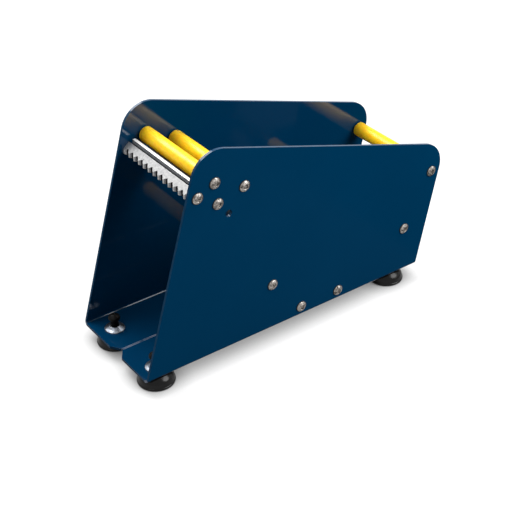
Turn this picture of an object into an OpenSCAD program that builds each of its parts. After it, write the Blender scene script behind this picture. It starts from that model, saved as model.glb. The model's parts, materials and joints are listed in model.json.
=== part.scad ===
// Table-top dispenser for rolls of labels: two bent side plates on suction feet, seven free-turning
// rollers between them and a toothed bar at the front where the label is torn off.
// The labels come off towards -Y. +X is the right-hand side plate, +Z is up, the table is Z = 0.

/* [Side plates] */
// Width over the outsides of both plates
body_w = 107; // [90:1:160]
// Length of each plate along its bottom edge
base_len = 305.4; // [250:1:400]
// Height of the front top corner above the plate's underside, before it is rounded
front_h = 208.9; // [170:1:260]
// Height of the rear top corner above the plate's underside, before it is rounded
rear_h = 124.6; // [100:1:160]
// Backward lean of the front edge, in degrees
front_lean = 15.7; // [5:0.1:25]
// Backward lean of the rear edge, in degrees
rear_lean = 11.6; // [0:0.1:20]
// Radius of the two upper corners
corner_r = 25.4; // [10:0.2:35]
// Radius of the lower rear corner
heel_r = 2; // [1:0.5:5]
// Thickness of the sheet
sheet_t = 2.5; // [1.5:0.1:4]
// Inside radius of the bend between wall and foot flange
bend_r = 2; // [1:0.1:4]
// Gap between the two flanges along the middle seam
seam_gap = 0.4; // [0.2:0.1:1]
// How far the seam lies towards the right-hand plate
seam_shift = 1.6; // [-3:0.1:3]
// Cut-off at each free flange corner, measured across the machine
flange_cut_x = 10; // [4:0.5:18]
// Cut-off at each free flange corner, measured along the seam
flange_cut_y = 7; // [3:0.5:15]
// Diameter of the spare hole in each plate
spare_hole_d = 6.5; // [4:0.1:8]
// Spare hole: distance behind the front top corner
spare_hole_back = 27.8; // [26:0.1:32]
// Spare hole: distance below the front top corner
spare_hole_drop = 69.4; // [66:0.1:75]

/* [Rollers] */
// Outside diameter of the yellow sleeves
sleeve_d = 14.2; // [12:0.1:17]
// Diameter of the rods inside the sleeves
rod_d = 10; // [8:0.1:11]
// Running clearance between rod and sleeve, measured on the radius
running_gap = 0.05; // [0.02:0.01:0.1]
// Gap between a sleeve's end and the plate
sleeve_end_gap = 1.5; // [0.5:0.1:3]
// Chamfer on the outer edges of the sleeves
sleeve_chamfer = 0.6; // [0.2:0.1:1]
// Front roller: distance behind the front top corner
front_roller_back = 14.6; // [12:0.1:16]
// Front roller: distance below the front top corner
front_roller_drop = 36; // [34:0.1:38]
// Second roller: distance behind the front top corner
second_roller_back = 43.8; // [40:0.1:60]
// Second roller: distance below the front top corner
second_roller_drop = 48.8; // [40:0.1:56]
// Rear roller: distance ahead of the rear top corner
rear_roller_ahead = 15.1; // [14:0.1:30]
// Rear roller: distance below the rear top corner
rear_roller_drop = 23.4; // [20:0.1:40]
// Front cradle roller: distance behind the lower front corner
front_cradle_back = 132.2; // [110:0.1:145]
// Rear cradle roller: distance ahead of the lower rear corner
rear_cradle_ahead = 18.8; // [12:0.1:60]
// Height of both cradle rollers above the plate's underside
cradle_h = 49; // [40:0.1:60]
// Front floor roller: distance behind the lower front corner
front_floor_back = 165.1; // [150:0.1:180]
// Rear floor roller: distance behind the lower front corner
rear_floor_back = 208; // [198:0.1:215]
// Height of both floor rollers above the plate's underside
floor_h = 11.2; // [11:0.1:20]

/* [Tear bar] */
// Rear bar screw: distance behind the front top corner
bar_screw_back = 17.2; // [16:0.1:19]
// Rear bar screw: distance below the front top corner
bar_screw_drop = 56.3; // [55:0.1:60]
// Slope of the bar, falling to the rear, in degrees
bar_slope = 31.5; // [26:0.1:36]
// Distance between the two bar screws
bar_screw_gap = 23; // [23:0.1:26]
// Bar above the screws' line
bar_over = 4.9; // [4.6:0.1:6]
// Bar under the screws' line
bar_under = 3.6; // [3.4:0.1:5]
// Bar behind the rear screw
bar_tail = 6.8; // [5:0.1:8]
// Top of the sloping front face, ahead of the front screw
bar_nose = 2.3; // [2:0.1:2.6]
// Slope of the front face, falling to the front, in degrees
face_slope = 42; // [38:0.5:46]
// Length of the front face down its slope
face_len = 8.3; // [8:0.1:9]
// Distance between two teeth
tooth_pitch = 7.6; // [5:0.1:10]
// Depth of the notches between the teeth
tooth_depth = 2.2; // [1:0.1:2.4]
// Width of the flat at each tooth's tip
tooth_flat = 0.8; // [0.4:0.1:3]
// Height of the front wall under the tips of the teeth
tooth_wall = 4; // [3:0.1:5]
// Thickness of the guide strip
strip_t = 3.2; // [1:0.1:4]
// Height of the guide strip's front over the bar
strip_rise = 4.3; // [1:0.1:5]
// Depth of the slot that the guide strip stands in, square to the bar's slope
strip_slot_depth = 1.3; // [1:0.1:1.6]
// Clearance on each side of the guide strip in its slot
strip_side_gap = 0.05; // [0.02:0.01:0.2]
// Guide strip: its front behind the top of the front face, along the bar's slope
strip_back = 1.2; // [1:0.1:2.5]
// Gap between each end of the guide strip and the plate
strip_end_gap = 4.2; // [0.5:0.1:6]

/* [Screws] */
// Diameter of the screws' threads
screw_d = 5; // [4:0.1:5]
// Diameter of the button heads
head_d = 10.6; // [9:0.1:11.5]
// Height of the button heads
head_h = 2.75; // [2.6:0.05:3.5]
// Height of the straight edge of a button head
head_edge = 0.6; // [0.2:0.1:1]
// Width across flats of the hexagon socket
socket_w = 4; // [3:0.5:5]
// Depth of the hexagon socket
socket_depth = 2.2; // [1.5:0.1:2.5]
// Clearance of the plates' screw holes, measured on the radius
screw_hole_gap = 0.25; // [0.1:0.05:0.5]
// Clearance of a thread in its tapped hole, measured on the radius
thread_gap = 0.05; // [0.02:0.01:0.1]
// Length of thread held in a rod
rod_engagement = 10; // [6:1:16]
// Length of thread held by the front bar screw, which stops short of the first deep notch
nose_engagement = 4.2; // [3:0.1:4.5]
// Free depth past the end of each screw
tapped_extra = 0.4; // [0.2:0.1:2]

/* [Feet] */
// Height of the plates' underside above the table
stand_h = 12; // [10:0.5:16]
// Diameter of the suction cups at the rim
cup_d = 34; // [28:0.5:38]
// Radius of the bead round the rim
cup_bead_r = 1.2; // [0.8:0.1:1.5]
// How far the bead is flattened against the table
cup_bead_flat = 0.25; // [0.1:0.05:0.4]
// Radius of the dome's curved side
cup_dome_r = 11.5; // [10.5:0.1:13]
// How far the dome's side stays inside the rim
cup_dome_inset = 0.5; // [0.1:0.1:1.2]
// Height at which the dome is widest
cup_dome_base = 1.5; // [1:0.1:3]
// Depth of the hollow under a cup
cup_hollow = 4.5; // [2:0.1:5]
// Diameter of the stem through the flange
stem_d = 7.4; // [6:0.1:8]
// Height of the stem over the flange
stem_h = 10.4; // [8:0.1:14]
// Diameter of the round head on the stem
stem_head_d = 10.8; // [9:0.1:12]
// Height of the round head on the stem
stem_head_h = 4.9; // [4:0.1:6]
// Height of the round head's straight side
stem_head_edge = 1.4; // [0.8:0.1:2]
// Radius of the dimple in the round head
dimple_r = 1.6; // [1:0.1:2]
// Depth of the dimple in the round head
dimple_depth = 1; // [0.5:0.1:1.5]
// Clearance round the stem, measured on the radius
stem_gap = 0.25; // [0.1:0.05:0.5]
// Diameter of the flat washer between cup and flange
washer_d = 19; // [16:0.5:22]
// Thickness of the flat washer
washer_t = 1.2; // [0.8:0.1:2]
// Diameter of the bell-shaped ferrule on the flange
ferrule_d = 18.5; // [15:0.1:19]
// Height of the ferrule
ferrule_h = 3.6; // [3:0.1:5]
// Thickness of the ferrule's metal
ferrule_t = 0.8; // [0.5:0.1:1]
// Right-hand feet: distance from the right plate's outside
right_foot_inset = 14.3; // [14:0.1:20]
// Left-hand feet: distance from the left plate's outside
left_foot_inset = 24.7; // [17:0.1:28]
// Front feet: distance behind the lower front corner
front_foot_back = 17.4; // [17.2:0.1:30]
// Rear feet: distance ahead of the lower rear corner
rear_foot_ahead = 24.7; // [18:0.1:40]

/* [Hidden] */
$fn = 64;

paint_blue = [0.01, 0.2, 0.33];
sleeve_yellow = [0.98, 0.8, 0.15];
steel = [0.62, 0.61, 0.58];
aluminium = [0.85, 0.85, 0.86];
rubber_black = [0.1, 0.1, 0.1];
chrome = [0.8, 0.82, 0.85];

// Sloping corners of the side plate, as [distance back, height], and the slope of its top edge
front_top = [front_h * tan(front_lean), front_h];
rear_top = [base_len + rear_h * tan(rear_lean), rear_h];
top_slope = atan2(front_top[1] - rear_top[1], rear_top[0] - front_top[0]);
front_edge_dir = 90 - front_lean;
rear_edge_dir = 90 - rear_lean;
front_arc = rounded_centre(front_top, front_edge_dir + 180, -top_slope, corner_r);
rear_arc = rounded_centre(rear_top, 180 - top_slope, rear_edge_dir + 180, corner_r);
overall_len = rear_arc[0] + corner_r;

inner_w = body_w - 2 * sheet_t;
half_w = body_w / 2;
cut = 1;

// Roller and screw places, as [distance back, height]
front_roller_at = front_top + [front_roller_back, -front_roller_drop];
second_roller_at = front_top + [second_roller_back, -second_roller_drop];
rear_roller_at = rear_top + [-rear_roller_ahead, -rear_roller_drop];
front_cradle_at = [front_cradle_back, cradle_h];
rear_cradle_at = [base_len - rear_cradle_ahead, cradle_h];
front_floor_at = [front_floor_back, floor_h];
rear_floor_at = [rear_floor_back, floor_h];
bar_screw_at = front_top + [bar_screw_back, -bar_screw_drop];
nose_screw_at = bar_screw_at + bar_screw_gap * [-cos(bar_slope), sin(bar_slope)];
spare_hole_at = front_top + [spare_hole_back, -spare_hole_drop];
rod_places = [front_roller_at, second_roller_at, rear_roller_at, front_cradle_at, rear_cradle_at,
              front_floor_at, rear_floor_at];
screw_r = screw_d / 2;

// Foot places, as [distance across, distance back]
foot_places = [for (x = [half_w - right_foot_inset, left_foot_inset - half_w])
               for (y = [front_foot_back, base_len - rear_foot_ahead]) [x, y]];
foot_hole_r = stem_d / 2 + stem_gap;

// Distance from a corner, along either of its edges, to where its arc starts
function tangent_len(dir_a, dir_b, r) = r / tan(abs(dir_gap(dir_a, dir_b)) / 2);
// Angle between two directions, from 0 to 180
function dir_gap(dir_a, dir_b) = acos(cos(dir_a - dir_b));
function unit(dir) = [cos(dir), sin(dir)];
// Centre of the arc that rounds a corner whose edges leave it in the two directions
function rounded_centre(corner, dir_a, dir_b, r) =
    let (middle = unit(dir_a) + unit(dir_b))
    corner + middle / norm(middle) * r / sin(dir_gap(dir_a, dir_b) / 2);

// Moves the plates' frame, which starts at the lower front corner, to the middle of the base
module in_place() { translate([0, -overall_len / 2, stand_h]) children(); }

// Draws a cylinder along X between two places across the machine
module across(at, r, x_from, x_to) {
    translate([x_from, at[0], at[1]]) rotate([0, 90, 0]) cylinder(h = x_to - x_from, r = r);
}

// Turns an outline drawn as [distance back, height] into a slab between two places across
module side_slab(x_from, x_to) {
    translate([x_from, 0, 0]) rotate([90, 0, 90]) linear_extrude(x_to - x_from) children();
}

// Side view of a plate: leaning front and rear edges, sloping top, rounded corners
module plate_outline() {
    front_cut = tangent_len(front_edge_dir + 180, -top_slope, corner_r);
    rear_cut = tangent_len(180 - top_slope, rear_edge_dir + 180, corner_r);
    heel_cut = tangent_len(180, rear_edge_dir, heel_r);
    heel = [base_len, 0];
    polygon([[0, 0],
             heel - [heel_cut, 0],
             heel + heel_cut * unit(rear_edge_dir),
             rear_top - rear_cut * unit(rear_edge_dir),
             rear_top + rear_cut * unit(180 - top_slope),
             front_top + front_cut * unit(-top_slope),
             front_top - front_cut * unit(front_edge_dir)]);
    translate(front_arc) circle(corner_r, $fn = 128);
    translate(rear_arc) circle(corner_r, $fn = 128);
    translate(rounded_centre(heel, 180, rear_edge_dir, heel_r)) circle(heel_r);
}

// End view of a right-hand plate whose flange ends at seam_x: wall, bend and foot flange
module bent_section(seam_x) {
    outer_r = bend_r + sheet_t;
    difference() {
        union() {
            translate([seam_x, 0]) square([half_w - outer_r - seam_x, sheet_t]);
            translate([half_w - sheet_t, outer_r]) square([sheet_t, front_h]);
            translate([half_w - outer_r, outer_r]) intersection() {
                circle(outer_r);
                translate([0, -outer_r]) square(outer_r);
            }
        }
        translate([half_w - outer_r, outer_r]) circle(bend_r);
    }
}

// Free corners cut off a flange that ends at seam_x, at the front and at the rear
module flange_corner_cuts(seam_x) {
    for (end = [[0, 1], [base_len, -1]])
        translate([seam_x, end[0], -cut])
            linear_extrude(sheet_t + 2 * cut)
                polygon([[-cut, -end[1] * cut],
                         [flange_cut_x + cut * flange_cut_x / flange_cut_y, -end[1] * cut],
                         [-cut, end[1] * (flange_cut_y + cut * flange_cut_y / flange_cut_x)]]);
}

// Holes through the wall for the screws, and the spare hole
module wall_holes() {
    for (at = concat(rod_places, [bar_screw_at, nose_screw_at]))
        across(at, screw_r + screw_hole_gap, half_w - sheet_t - cut, half_w + cut);
    across(spare_hole_at, spare_hole_d / 2, half_w - sheet_t - cut, half_w + cut);
}

// Holes through the flange for the feet's stems, for feet at the given place across
module flange_holes(foot_x) {
    for (y = [front_foot_back, base_len - rear_foot_ahead])
        translate([foot_x, y, -cut]) cylinder(h = sheet_t + 2 * cut, r = foot_hole_r);
}

// A right-hand plate for feet at foot_x, whose flange ends at seam_x
module side_plate(foot_x, seam_x) {
    color(paint_blue) difference() {
        intersection() {
            side_slab(seam_x, half_w) plate_outline();
            translate([0, overall_len, 0]) rotate([90, 0, 0])
                linear_extrude(overall_len) bent_section(seam_x);
        }
        flange_corner_cuts(seam_x);
        wall_holes();
        flange_holes(foot_x);
    }
}

module right_side_plate() {
    side_plate(half_w - right_foot_inset, seam_gap / 2 + seam_shift);
}

module left_side_plate() {
    mirror([1, 0, 0]) side_plate(half_w - left_foot_inset, seam_gap / 2 - seam_shift);
}

// A rod between the plates, tapped at both ends
module rod(at) {
    depth = rod_engagement + tapped_extra;
    color(steel) difference() {
        across(at, rod_d / 2, -inner_w / 2, inner_w / 2);
        across(at, screw_r + thread_gap, -inner_w / 2 - cut, depth - inner_w / 2);
        across(at, screw_r + thread_gap, inner_w / 2 - depth, inner_w / 2 + cut);
    }
}

// A yellow sleeve that turns on its rod
module sleeve(at) {
    sleeve_len = inner_w - 2 * sleeve_end_gap;
    bore_r = rod_d / 2 + running_gap;
    color(sleeve_yellow) translate([-sleeve_len / 2, at[0], at[1]]) rotate([0, 90, 0])
        rotate_extrude() polygon([[bore_r, 0],
                                  [sleeve_d / 2 - sleeve_chamfer, 0],
                                  [sleeve_d / 2, sleeve_chamfer],
                                  [sleeve_d / 2, sleeve_len - sleeve_chamfer],
                                  [sleeve_d / 2 - sleeve_chamfer, sleeve_len],
                                  [bore_r, sleeve_len]]);
}

// Places along the bar's own slope: back along it and up from the line of its screws
function on_bar(back, up) = nose_screw_at + back * unit(-bar_slope) + up * unit(90 - bar_slope);
bar_face_top = on_bar(-bar_nose, bar_over);
bar_tip = bar_face_top - face_len * unit(face_slope);
bar_toe = bar_tip - [0, tooth_wall];
// A level land runs back from the front wall's foot to the bar's sloping underside
bar_heel = on_bar((on_bar(0, -bar_under)[1] - bar_toe[1]) / sin(bar_slope), -bar_under);

// Solid bar between the plates, with a sloping face that ends in a row of teeth
module tear_bar() {
    tooth_count = floor(inner_w / tooth_pitch);
    first_notch = -(tooth_count - 1) * tooth_pitch / 2;
    notch_half = (tooth_pitch - tooth_flat) / 2;
    rear = bar_screw_gap + bar_tail;
    nose_depth = nose_engagement + tapped_extra;
    rear_depth = rod_engagement + tapped_extra;
    color(aluminium) difference() {
        side_slab(-inner_w / 2, inner_w / 2)
            polygon([bar_face_top, bar_tip, bar_toe, bar_heel,
                     on_bar(rear, -bar_under), on_bar(rear, bar_over)]);
        for (k = [0 : tooth_count - 1])
            translate([first_notch + k * tooth_pitch, bar_tip[0], bar_toe[1] - cut])
                linear_extrude(bar_face_top[1] - bar_toe[1] + 2 * cut)
                    polygon([[-notch_half, 0],
                             [-notch_half, -cut],
                             [notch_half, -cut],
                             [notch_half, 0],
                             [0, tooth_depth]]);
        side_slab(-inner_w / 2 - cut, inner_w / 2 + cut) strip_section(strip_side_gap, cut);
        for (hole = [[nose_screw_at, nose_depth], [bar_screw_at, rear_depth]]) {
            across(hole[0], screw_r + thread_gap, -inner_w / 2 - cut, hole[1] - inner_w / 2);
            across(hole[0], screw_r + thread_gap, inner_w / 2 - hole[1], inner_w / 2 + cut);
        }
    }
}

// Height of the slot's floor, which slopes as the bar does, at a distance back
function slot_floor(back) =
    let (start = on_bar(0, bar_over - strip_slot_depth))
    start[1] - (back - start[0]) * tan(bar_slope);

// End view of the upright guide strip, widened for its slot and lengthened upwards as asked
module strip_section(side, up) {
    foot = on_bar(strip_back - bar_nose, bar_over);
    front = foot[0] - side;
    rear = foot[0] + strip_t + side;
    high = foot[1] + strip_rise + up;
    polygon([[front, slot_floor(front)], [rear, slot_floor(rear)], [rear, high], [front, high]]);
}

// Flat strip on the bar that keeps the label off the front roller
module guide_strip() {
    half = inner_w / 2 - strip_end_gap;
    color(aluminium) side_slab(-half, half) strip_section(0, 0);
}

// Button-head socket screw along X, its head's underside on the right-hand plate
module screw(at, engagement) {
    crown_r = crown_radius(head_d / 2, head_h - head_edge);
    color(steel) difference() {
        union() {
            across(at, screw_r, half_w - sheet_t - engagement, half_w);
            translate([half_w, at[0], at[1]]) rotate([0, 90, 0]) rotate_extrude($fn = 48) intersection() {
                translate([0, head_h - crown_r]) circle(crown_r, $fn = 48);
                square([head_d / 2, head_h]);
            }
        }
        translate([half_w + head_h - socket_depth, at[0], at[1]]) rotate([0, 90, 0])
            cylinder(h = socket_depth + cut, r = socket_w / sqrt(3), $fn = 6);
    }
}

// The nine screws of one plate, all separate
module side_screws() {
    for (at = concat(rod_places, [bar_screw_at])) screw(at, rod_engagement);
    screw(nose_screw_at, nose_engagement);
}

// Radius of a crown that rises by the given amount over the given half width
function crown_radius(half, rise) = (pow(half, 2) + pow(rise, 2)) / (2 * rise);

// Suction cup with the stem and round head that hold it in the flange
module suction_cup(foot) {
    top = stand_h - washer_t;
    rim_r = cup_d / 2;
    stem_top = stand_h + sheet_t + stem_h;
    head_top = stem_top + stem_head_h;
    hollow_r = crown_radius(rim_r - 2 * cup_bead_r, cup_hollow);
    crown_r = crown_radius(stem_head_d / 2, stem_head_h - stem_head_edge);
    color(rubber_black) translate([foot[0], foot[1], -stand_h]) rotate_extrude($fn = 96) difference() {
        union() {
            intersection() {
                union() {
                    translate([rim_r - cup_dome_inset - cup_dome_r, cup_dome_base])
                        circle(cup_dome_r, $fn = 96);
                    translate([rim_r - cup_bead_r, cup_bead_r - cup_bead_flat]) circle(cup_bead_r);
                }
                square([rim_r, top]);
            }
            square([stem_d / 2, stem_top + stem_head_edge / 2]);
            intersection() {
                translate([0, head_top - crown_r]) circle(crown_r, $fn = 96);
                translate([0, stem_top]) square([stem_head_d / 2, stem_head_h]);
            }
        }
        translate([0, cup_hollow - hollow_r]) circle(hollow_r, $fn = 128);
        translate([0, head_top - dimple_depth + dimple_r]) circle(dimple_r);
    }
}

// Flat washers between the cups and the flanges
module foot_washers() {
    for (foot = foot_places)
        color(steel) translate([foot[0], foot[1], -washer_t]) difference() {
            cylinder(h = washer_t, d = washer_d);
            translate([0, 0, -cut]) cylinder(h = washer_t + 2 * cut, r = foot_hole_r);
        }
}

// Bell-shaped ferrules round the stems, on the flanges
module foot_ferrules() {
    rim_r = ferrule_d / 2;
    neck_r = foot_hole_r + ferrule_t;
    // The inside of the slanting wall ends this far from the outside, along the flange and the stem
    slant_t = 1.2 * ferrule_t;
    for (foot = foot_places)
        color(chrome) translate([foot[0], foot[1], sheet_t])
            rotate_extrude() polygon([[rim_r - slant_t, 0],
                                      [rim_r, 0],
                                      [rim_r, ferrule_t],
                                      [neck_r, ferrule_h],
                                      [foot_hole_r, ferrule_h],
                                      [foot_hole_r, ferrule_h - slant_t]]);
}

in_place() right_side_plate();
in_place() left_side_plate();
in_place() rod(front_roller_at);  // front_rod
in_place() sleeve(front_roller_at);  // front_sleeve
in_place() rod(second_roller_at);  // second_rod
in_place() sleeve(second_roller_at);  // second_sleeve
in_place() rod(rear_roller_at);  // rear_rod
in_place() sleeve(rear_roller_at);  // rear_sleeve
in_place() rod(front_cradle_at);  // front_cradle_rod
in_place() sleeve(front_cradle_at);  // front_cradle_sleeve
in_place() rod(rear_cradle_at);  // rear_cradle_rod
in_place() sleeve(rear_cradle_at);  // rear_cradle_sleeve
in_place() rod(front_floor_at);  // front_floor_rod
in_place() sleeve(front_floor_at);  // front_floor_sleeve
in_place() rod(rear_floor_at);  // rear_floor_rod
in_place() sleeve(rear_floor_at);  // rear_floor_sleeve
in_place() tear_bar();
in_place() guide_strip();
in_place() side_screws();  // right_side_screws
in_place() mirror([1, 0, 0]) side_screws();  // left_side_screws
in_place() suction_cup(foot_places[0]);  // front_right_suction_cup
in_place() suction_cup(foot_places[1]);  // rear_right_suction_cup
in_place() suction_cup(foot_places[2]);  // front_left_suction_cup
in_place() suction_cup(foot_places[3]);  // rear_left_suction_cup
in_place() foot_washers();
in_place() foot_ferrules();
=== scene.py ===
"""Looks of a table-top label dispenser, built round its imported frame.

Two bent steel plates in dark blue gloss enamel stand on suction feet. Between them are seven yellow
sleeves on steel rods, and at the front a toothed aluminium bar with a guide strip standing in it.
Lengths are in metres, in the frame's axes: the labels leave towards -Y, the right-hand plate is at
+X and the table is Z = 0.
"""

from __future__ import annotations

import json
import logging
import math
from collections.abc import Iterable, Sequence
from dataclasses import dataclass
from enum import Enum
from functools import cached_property

import bmesh
import bpy
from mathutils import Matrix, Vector
from mathutils.geometry import delaunay_2d_cdt

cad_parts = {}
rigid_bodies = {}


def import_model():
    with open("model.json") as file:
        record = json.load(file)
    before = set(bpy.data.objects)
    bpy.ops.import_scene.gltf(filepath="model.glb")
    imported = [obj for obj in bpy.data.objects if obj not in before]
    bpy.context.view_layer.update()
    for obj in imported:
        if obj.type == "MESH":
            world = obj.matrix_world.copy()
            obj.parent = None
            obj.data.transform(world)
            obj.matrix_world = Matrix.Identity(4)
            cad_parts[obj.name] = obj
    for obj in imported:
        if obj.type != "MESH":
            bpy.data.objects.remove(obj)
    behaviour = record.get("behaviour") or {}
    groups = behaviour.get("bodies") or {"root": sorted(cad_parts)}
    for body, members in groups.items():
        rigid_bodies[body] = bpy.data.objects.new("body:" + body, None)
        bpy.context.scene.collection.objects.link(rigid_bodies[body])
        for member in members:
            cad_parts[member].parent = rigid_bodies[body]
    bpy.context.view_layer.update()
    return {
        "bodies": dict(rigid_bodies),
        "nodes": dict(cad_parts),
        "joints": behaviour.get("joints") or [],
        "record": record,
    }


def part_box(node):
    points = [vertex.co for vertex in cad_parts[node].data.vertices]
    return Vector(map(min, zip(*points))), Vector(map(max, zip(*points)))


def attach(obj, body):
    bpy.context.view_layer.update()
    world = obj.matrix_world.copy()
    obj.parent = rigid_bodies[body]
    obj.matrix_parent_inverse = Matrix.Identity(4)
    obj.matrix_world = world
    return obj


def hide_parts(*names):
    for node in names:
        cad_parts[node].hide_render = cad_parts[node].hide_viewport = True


log = logging.getLogger("label_dispenser")

MM = 0.001
WELD = 1e-7
SHARP_ANGLE = 30.0
FILL_WITHOUT_HOLES = 5
FILL_PRECISION = 1e-8

Point = tuple[float, float]
Place = tuple[float, float, float]
Colour = tuple[float, float, float, float]
Mesh = bmesh.types.BMesh
Ring = list[bmesh.types.BMVert]
Material = bpy.types.Material
Piece = bpy.types.Object
Tree = bpy.types.NodeTree
Node = bpy.types.Node
Socket = bpy.types.NodeSocket
Sockets = bpy.types.NodeInputs
Inputs = dict[str | int, object]

WHITE: Colour = (1.0, 1.0, 1.0, 1.0)


class Slot(Enum):
    """Material slots named in the record. The feet list the slots of their ferrules and washers, but no
    finish is taken from them.
    """

    PAINT = "blue_paint"
    STEEL = "steel"
    SLEEVE = "yellow_plastic"
    ALUMINIUM = "aluminium"
    SCREW = "screw_steel"
    RUBBER = "black_rubber"
    CHROME = "chrome"


class Side(Enum):
    """The two sides of the machine, as the sign of X."""

    RIGHT = 1
    LEFT = -1


class PlateFinish(Enum):
    """Places of a plate's finishes among its materials.

    Thickening a sheet moves each of its inner faces on by one place, but not past the last.
    """

    OUTSIDE = 0
    INSIDE = 1
    EDGE = 2
    BEND = 3
    BEND_INSIDE = 4
    # The band along the flanges' seam, coloured light as a painted highlight.
    SEAM = 5


class BarFinish(Enum):
    """Places of the tear bar's and the guide strip's finishes among their materials: plain metal, painted
    half shade and painted shade.
    """

    PLAIN = 0
    HALF_LIT = 1
    DARK = 2


class ScrewFinish(Enum):
    """Places of the screws' finishes among their materials."""

    HEAD = 0
    # The heads' rims carry painted shade.
    RIM = 1


class CupFinish(Enum):
    """Places of a suction cup's finishes among its materials."""

    CUP = 0
    STEM = 1


class Axis(Enum):
    """Directions that turned pieces are made about."""

    RIGHT = "right"
    LEFT = "left"
    UP = "up"


def srgb(red: int, green: int, blue: int) -> Colour:
    """Turn an eight-bit screen colour into the linear colour that shaders take.

    Args:
        red: Red from 0 to 255.
        green: Green from 0 to 255.
        blue: Blue from 0 to 255.

    Returns:
        The linear colour with full alpha.
    """

    def linear(value: int) -> float:
        """Undo the screen's curve for one channel."""
        share = value / 255
        return share / 12.92 if share <= 0.04045 else ((share + 0.055) / 1.055) ** 2.4

    return linear(red), linear(green), linear(blue), 1.0


# Outlines


@dataclass(frozen=True)
class Corner:
    """One corner of an outline, rounded to a radius where that isn't zero."""

    u: float
    v: float
    radius: float = 0.0


def heading(degrees: float) -> Vector:
    """Unit vector of a direction in an outline's plane."""
    return Vector((math.cos(math.radians(degrees)), math.sin(math.radians(degrees))))


def full_turn(steps: int) -> list[float]:
    """Angles in radians of points spaced evenly round a circle."""
    return [2 * math.pi * step / steps for step in range(steps)]


def trace(corners: Sequence[Corner], closed: bool, turn: float = 7.5) -> list[Point]:
    """Draw an outline through its corners, with the round ones as arcs.

    Args:
        corners: The corners in order.
        closed: Whether the last corner joins the first.
        turn: Largest turn between two points of an arc, in degrees.

    Returns:
        The outline's points.
    """
    points: list[Point] = []
    count = len(corners)
    for index, corner in enumerate(corners):
        here = Vector((corner.u, corner.v))
        at_end = not closed and index in (0, count - 1)
        if corner.radius == 0 or at_end:
            points.append((here.x, here.y))
            continue
        before, after = corners[index - 1], corners[(index + 1) % count]
        back = (Vector((before.u, before.v)) - here).normalized()
        on = (Vector((after.u, after.v)) - here).normalized()
        half = back.angle(on) / 2
        reach = corner.radius / math.tan(half)
        centre = here + (back + on).normalized() * corner.radius / math.sin(half)
        start, end = here + back * reach - centre, here + on * reach - centre
        swing = start.angle_signed(end)
        steps = max(2, math.ceil(abs(math.degrees(swing)) / turn))
        first = math.atan2(start.y, start.x)
        for step in range(steps + 1):
            angle = first - swing * step / steps
            across, up = corner.radius * math.cos(angle), corner.radius * math.sin(angle)
            points.append((centre.x + across, centre.y + up))
    return points


# Meshes


def finish_mesh(name: str, mesh: Mesh, sharp_angle: float = SHARP_ANGLE) -> Piece:
    """Turn a built mesh into a shaded object of the scene.

    Args:
        name: The piece's name.
        mesh: The built mesh, which is freed.
        sharp_angle: Edges that turn more than this, in degrees, stay sharp.

    Returns:
        The new object.
    """
    bmesh.ops.remove_doubles(mesh, verts=mesh.verts, dist=WELD)
    bmesh.ops.recalc_face_normals(mesh, faces=mesh.faces)
    data = bpy.data.meshes.new(name)
    mesh.to_mesh(data)
    mesh.free()
    data.shade_smooth()
    data.set_sharp_from_angle(angle=math.radians(sharp_angle))
    piece = bpy.data.objects.new(name, data)
    bpy.context.scene.collection.objects.link(piece)
    return piece


def skin_rings(mesh: Mesh, rings: Sequence[Ring], closed: bool) -> None:
    """Join each ring of points to the next with faces.

    Args:
        mesh: The mesh that the rings are in.
        rings: Rings of as many points each, or of one point where they close to a tip.
        closed: Whether the last ring joins the first.
    """
    pairs = list(zip(rings, rings[1:])) + ([(rings[-1], rings[0])] if closed else [])
    for low, high in pairs:
        count = max(len(low), len(high))
        for step in range(count):
            after = (step + 1) % count
            around = ((low, step), (low, after), (high, after), (high, step))
            distinct = list(dict.fromkeys(ring[index % len(ring)] for ring, index in around))
            if len(distinct) > 2:
                mesh.faces.new(distinct)


def place(origin: Vector, axis: Axis, radius: float, along: float, angle: float) -> Vector:
    """Place a point given by radius, distance along an axis and angle about it.

    Args:
        origin: Where the axis starts.
        axis: Which way it runs.
        radius: Distance from the axis.
        along: Distance along the axis.
        angle: Angle about the axis, in radians.

    Returns:
        The point in the frame's axes.
    """
    across, up = radius * math.cos(angle), radius * math.sin(angle)
    if axis is Axis.UP:
        return origin + Vector((across, up, along))
    return origin + Vector((along if axis is Axis.RIGHT else -along, across, up))


def add_rings(mesh: Mesh, profile: Sequence[Point], origin: Vector, axis: Axis, segments: int) -> list[Ring]:
    """Add the rings of a turned profile, without faces.

    Args:
        mesh: The mesh to add to.
        profile: The section's points, each a radius and a distance along the axis.
        origin: Where the axis starts.
        axis: Which way it runs.
        segments: Sides round the axis.

    Returns:
        The rings in order, with a single point for each that lies on the axis.
    """
    rings = []
    for radius, along in profile:
        angles = full_turn(segments) if radius > WELD else [0.0]
        rings.append([mesh.verts.new(place(origin, axis, radius, along, angle)) for angle in angles])
    return rings


def turn_piece(
    name: str, profile: Sequence[Point], origins: Iterable[Vector], axis: Axis, closed: bool,
    segments: int = 64, sharp_angle: float = SHARP_ANGLE,
) -> Piece:
    """Make one piece of turned solids that share a profile.

    Args:
        name: The piece's name.
        profile: The section's points, each a radius and a distance along the axis.
        origins: Where the axis of each solid starts.
        axis: Which way the axes run.
        closed: Whether the profile's end joins its start, as a washer's does.
        segments: Sides round the axis.
        sharp_angle: Edges that turn more than this, in degrees, stay sharp.

    Returns:
        The new object.
    """
    mesh = bmesh.new()
    for origin in origins:
        skin_rings(mesh, add_rings(mesh, profile, origin, axis, segments), closed)
    return finish_mesh(name, mesh, sharp_angle)


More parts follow.
